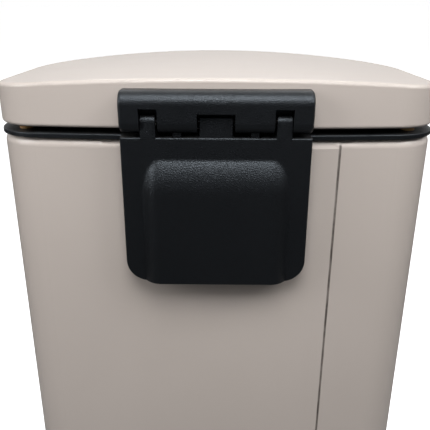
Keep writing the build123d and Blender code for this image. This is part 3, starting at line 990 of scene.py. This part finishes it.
@dataclass
class HingeHousing:
    """The housing on the bin's back: a plate with a soft bulge and two hinge fingers."""

    width: float = 118.0 * MM
    height: float = 97.6 * MM
    corner: float = 14.7 * MM
    corner_strips: int = 14
    edge_round: float = 0.8 * MM
    edge_strips: int = 3
    wall: float = 2.5 * MM
    proud: float = 5.5 * MM
    bulge_drop: float = 13.9 * MM
    bulge_half_top: float = 45.5 * MM
    bulge_half_low: float = 46.3 * MM
    side_reach: float = 10.5 * MM
    top_reach: float = 22.0 * MM
    fullness: float = 2.2
    cell: float = 1.2 * MM
    rear_facing: float = -0.9
    bow_radius: float = 1299.1 * MM
    finger_width: float = 9.4 * MM
    finger_dip: float = 1.5 * MM
    finger_round: float = 0.48 * MM
    knuckle_radius: float = 4.4 * MM
    knuckle_share: float = 0.995
    knuckle_strips: int = 12
    heel_inset: float = 1.75 * MM
    slot_width: float = 7.0 * MM
    slot_reach: Span = (-12.0 * MM, 3.2 * MM)

    def __post_init__(self) -> None:
        """Take the places of the housing from the frame."""
        low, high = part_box("hinge_cover")
        self.plane = high[1] - self.proud
        self.bottom = low[2]
        self.top = self.bottom + self.height
        pin_low, pin_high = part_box("hinge_pin")
        self.pin = ((pin_low[1] + pin_high[1]) / 2, (pin_low[2] + pin_high[2]) / 2)
        self.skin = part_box("body_shell")[1][1]
        bush_low, bush_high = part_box("hinge_bushes")
        self.bush_radius = (bush_high[2] - bush_low[2]) / 2
        self.finger_x = bush_high[0] - self.finger_width / 2
        self.heel_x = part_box("damper_plungers")[1][0] - self.heel_inset

    def swell(self, place: Vector) -> float:
        """Share of the bulge's full height at a place on the plate.

        Args:
            place: A place on the plate.

        Returns:
            0 on the flat plate, 1 on the bulge's broad face.
        """
        drop = (self.top - place.z) / self.height
        half = self.bulge_half_top + (self.bulge_half_low - self.bulge_half_top) * drop
        side = max(1.0 - (half - abs(place.x)) / self.side_reach, 0.0)
        above = max(1.0 - (self.top - self.bulge_drop - place.z) / self.top_reach, 0.0)
        return max(1.0 - math.hypot(side, above) ** self.fullness, 0.0)

    def bow(self, x: float) -> float:
        """Follow the body's bowed back.

        Args:
            x: A place in X.

        Returns:
            The back's place in Y there.
        """
        return self.skin - (self.bow_radius - math.sqrt(self.bow_radius**2 - x * x))

    def cells(self, low: float, length: float) -> list[float]:
        """Spread the places of cuts evenly along a side.

        Args:
            low: Where the side starts.
            length: Its length.

        Returns:
            The places, about a cell apart.
        """
        count = int(length / self.cell)
        return [low + (i + 0.5) * length / count for i in range(count)]

    def shell(self) -> Bench:
        """Model the plate, its bulge and its side walls.

        Returns:
            The piece.
        """
        half = self.width / 2
        root = self.bow(half) - self.edge_round
        shell = Bench.box("hinge_housing", (-half, root, self.bottom), (half, self.plane, self.top))
        shell.pick_edges(lambda a, b: max(a.z, b.z) < self.bottom + MM and abs(a.x - b.x) < MM)
        shell.bevel(self.corner, self.corner_strips)
        shell.pick_edges(lambda a, b: min(a.y, b.y) > self.plane - MM)
        shell.bevel(self.edge_round, self.edge_strips)
        shell.cut_across((1.0, 0.0, 0.0), self.cells(-half, self.width))
        shell.cut_across((0.0, 0.0, 1.0), self.cells(self.bottom, self.height))
        shell.pick_faces(lambda normal: normal.y < self.rear_facing)
        shell.delete_faces()
        shell.weigh("bulge", lambda place: self.swell(place) if place.y > self.plane - MM else 0.0)
        shell.modify("DISPLACE", direction="Y", mid_level=0.0, strength=self.proud,
                     vertex_group="bulge")
        shell.reshape(lambda place: self.seat(place) if place.y < root + NEAR else place)
        shell.modify("SOLIDIFY", thickness=self.wall, offset=-1.0, use_even_offset=True)
        return shell

    def seat(self, place: Vector) -> Vector:
        """Set a place of the side walls' rim into the body's bowed back.

        Args:
            place: The place.

        Returns:
            The place in the back's sheet.
        """
        return Vector((place.x, self.bow(place.x) - self.edge_round / 2, place.z))

    def finger(self, x: float) -> Bench:
        """Model one finger that carries the pin.

        Args:
            x: The finger's middle.

        Returns:
            The piece.
        """
        y, z = self.pin
        radius = self.knuckle_radius
        half = self.finger_width / 2
        finger = Bench.box("finger", (x - half, y - radius, self.top - self.finger_dip),
                           (x + half, y + radius, z + radius))
        finger.pick_edges(lambda a, b: min(a.z, b.z) > z and abs(a.y - b.y) < MM)
        finger.bevel(radius * self.knuckle_share, self.knuckle_strips)
        finger.pick_edges(lambda a, b: abs(a.x - b.x) < NEAR and min(a.z, b.z) > self.top)
        finger.bevel(self.finger_round, self.edge_strips)
        finger.combine(Bench.bar("bush", (x, y, z), self.bush_radius, self.width), "DIFFERENCE")
        return finger

    def build(self, wardrobe: Wardrobe) -> None:
        """Build the housing in place of its CAD node.

        Args:
            wardrobe: The bin's finishes.
        """
        shell = self.shell()
        front, rear = around(self.pin[0], self.slot_reach)
        for side in (-1, 1):
            left, right = around(side * self.heel_x, (-self.slot_width / 2, self.slot_width / 2))
            slot = Bench.box("heel_slot", (left, front, self.top - 2 * self.wall),
                             (right, rear, self.top + self.wall))
            shell.combine(slot, "DIFFERENCE")
            shell.combine(self.finger(side * self.finger_x), "UNION")
        shell.place(Body.STAND, Slot.BLACK, wardrobe[Slot.BLACK], stands_for=["hinge_cover"])


@dataclass
class Pedal:
    """The pedal's rubber pad with its tread."""

    edge_round: float = 3.0 * MM
    edge_strips: int = 6
    rib_pitch: float = 3.2 * MM
    groove_width: float = 1.2 * MM
    groove_depth: float = 0.8 * MM
    groove_round: float = 0.36 * MM
    groove_strips: int = 2
    margin: float = 5.0 * MM

    def build(self, wardrobe: Wardrobe) -> None:
        """Build the ribbed pad in place of its CAD node.

        Args:
            wardrobe: The bin's finishes.
        """
        low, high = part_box("pedal_pad")
        pad = Bench.box("pedal_tread", low, high)
        pad.pick_edges(lambda a, b: True)
        pad.bevel(self.edge_round, self.edge_strips)
        count = int((high[1] - low[1] - 2 * self.margin) / self.rib_pitch) + 1
        for i in range(count):
            start = low[1] + self.margin + i * self.rib_pitch
            groove = Bench.box(
                "groove",
                (low[0] + self.margin, start, high[2] - self.groove_depth),
                (high[0] - self.margin, start + self.groove_width, high[2] + self.groove_depth),
            )
            groove.pick_edges(lambda a, b: max(a.z, b.z) < high[2] and abs(a.y - b.y) < NEAR)
            groove.bevel(self.groove_round, self.groove_strips)
            pad.combine(groove, "DIFFERENCE")
        pad.place(Body.PEDAL, Slot.RUBBER, wardrobe[Slot.RUBBER], stands_for=["pedal_pad"])


@dataclass
class Camera:
    """The photograph's camera, with its angles in degrees."""

    place: Place = (-0.0026, 0.4552, 0.4721)
    pitch: float = 20.92
    yaw: float = 0.531
    roll: float = 0.216
    focal_pixels: float = 552.6
    nearest: float = 10.0 * MM

    def build(self) -> None:
        """Create the camera and make it the scene's."""
        data = bpy.data.cameras.new("Camera")
        data.sensor_width = SENSOR_WIDTH
        data.lens = self.focal_pixels / IMAGE_SIDE * SENSOR_WIDTH
        data.clip_start = self.nearest
        camera = bpy.data.objects.new("Camera", data)
        bpy.context.scene.collection.objects.link(camera)
        heading = Matrix.Rotation(math.pi + math.radians(self.yaw), 4, "Z")
        turn = heading @ Matrix.Rotation(math.radians(90.0 - self.pitch), 4, "X")
        camera.matrix_world = (Matrix.Translation(self.place) @ turn
                               @ Matrix.Rotation(math.radians(self.roll), 4, "Z"))
        bpy.context.scene.camera = camera


@dataclass(frozen=True)
class SoftBox:
    """A square light that faces a point, with its side in metres and its power in watts."""

    name: str
    place: Place
    size: float
    power: float
    aim: Place = BIN_MIDDLE

    def hang(self) -> None:
        """Hang the light in the scene."""
        data = bpy.data.lights.new(self.name, "AREA")
        data.shape = "SQUARE"
        data.size = self.size
        data.energy = self.power
        lamp = bpy.data.objects.new(self.name, data)
        bpy.context.scene.collection.objects.link(lamp)
        lamp.location = self.place
        way = Vector(self.aim) - Vector(self.place)
        lamp.rotation_euler = way.to_track_quat("-Z", "Y").to_euler()


@dataclass
class Studio:
    """Pale floor, graded sky and soft boxes.

    The sky's spans are parts of a direction of length 1: how far it points to the hinge's side,
    how far up, where the ground sets in and where the light from under the floor does.
    """

    floor_colour: Colour = (0.9, 0.9, 0.9)
    floor_shade: float = 0.985
    floor_waves: float = 60.0
    floor_roughness: float = 0.7
    floor_size: float = 160.0
    floor_glow: float = 0.75
    near_horizon: float = 0.14
    far_horizon: float = 0.57
    side_span: Span = (-0.6, 0.4)
    zenith: float = 0.25
    rise_span: Span = (0.05, 0.85)
    below: float = 0.05
    ground_span: Span = (-0.1, 0.0)
    under: float = 0.15
    under_span: Span = (-0.56, -0.38)
    lights: tuple[SoftBox, ...] = (
        SoftBox("Rear box", (0.0, 0.65, 1.16), 0.55, 8.4),
        SoftBox("Overhead box", (0.0, 0.4, 1.3), 0.5, 0.4),
        SoftBox("Left box", (0.8, 0.5, 0.75), 0.5, 4.5),
        SoftBox("Right box", (-0.8, 0.5, 1.1), 0.5, 6.6),
        SoftBox("Backdrop box", (0.0, -2.6, 2.6), 2.4, 30.0, (0.0, -1.4, 0.0)),
    )

    def floor(self, effects: Effects) -> None:
        """Lay the floor, which neither shows in the bin's gloss nor lights its sides.

        Args:
            effects: The shared effect groups.
        """
        deselect_all()
        bpy.ops.mesh.primitive_plane_add(size=self.floor_size, location=(0.0, 0.0, 0.0))
        floor = bpy.context.object
        floor.name = "studio_floor"
        floor.visible_glossy = False
        floor.visible_diffuse = False
        surface = Surface("Pale floor", effects)
        tone = surface.skin(self.floor_waves)[1]
        shade = tuple(value * self.floor_shade for value in self.floor_colour)
        surface.drive("Base Color", surface.sheet.blend(tone, shade, self.floor_colour))
        surface.fixed(Roughness=self.floor_roughness, Emission_Color=WHITE,
                      Emission_Strength=self.floor_glow)
        floor.data.materials.append(surface.material)

    def sky(self) -> None:
        """Grade the sky: dim low on the hinge's side, bright beyond the bin, dark below.

        The grades light the bin and show in its gloss. The camera itself sees the sky white.
        """
        world = bpy.data.worlds.new("Studio")
        world.use_nodes = True
        sheet = Sheet(world.node_tree)
        way = sheet.add("SeparateXYZ", {0: sheet.add("TexCoord").outputs["Generated"]}).outputs
        low = sheet.remap(way["Y"], self.side_span, (self.far_horizon, self.near_horizon))
        rise = sheet.remap(way["Z"], self.rise_span)
        level = sheet.math("MULTIPLY_ADD", sheet.math("SUBTRACT", self.zenith, low), rise, low)
        ground = sheet.remap(way["Z"], self.ground_span, (self.below, 1.0))
        under = sheet.remap(way["Z"], self.under_span, (self.under, 0.0))
        lit = sheet.math("MULTIPLY_ADD", level, ground, under)
        seen = sheet.math("MAXIMUM", lit, sheet.add("LightPath").outputs["Is Camera Ray"])
        background = sheet.add("Background", {"Color": WHITE, "Strength": seen})
        sheet.add("OutputWorld", {"Surface": background.outputs[0]})
        bpy.context.scene.world = world

    def build(self, effects: Effects) -> None:
        """Set up the floor, the sky and the lights.

        Args:
            effects: The shared effect groups.
        """
        bpy.context.scene.view_settings.view_transform = "Standard"
        self.floor(effects)
        self.sky()
        for light in self.lights:
            light.hang()


def main() -> None:
    """Build the bin's pieces, its finishes, the camera and the studio."""
    logging.basicConfig(level=logging.INFO, format="%(name)s: %(message)s")
    effects = Effects()
    wardrobe = Wardrobe(effects)
    HingeHousing().build(wardrobe)
    Pedal().build(wardrobe)
    Camera().build()
    Studio().build(effects)


if __name__ == "__main__":
    main()
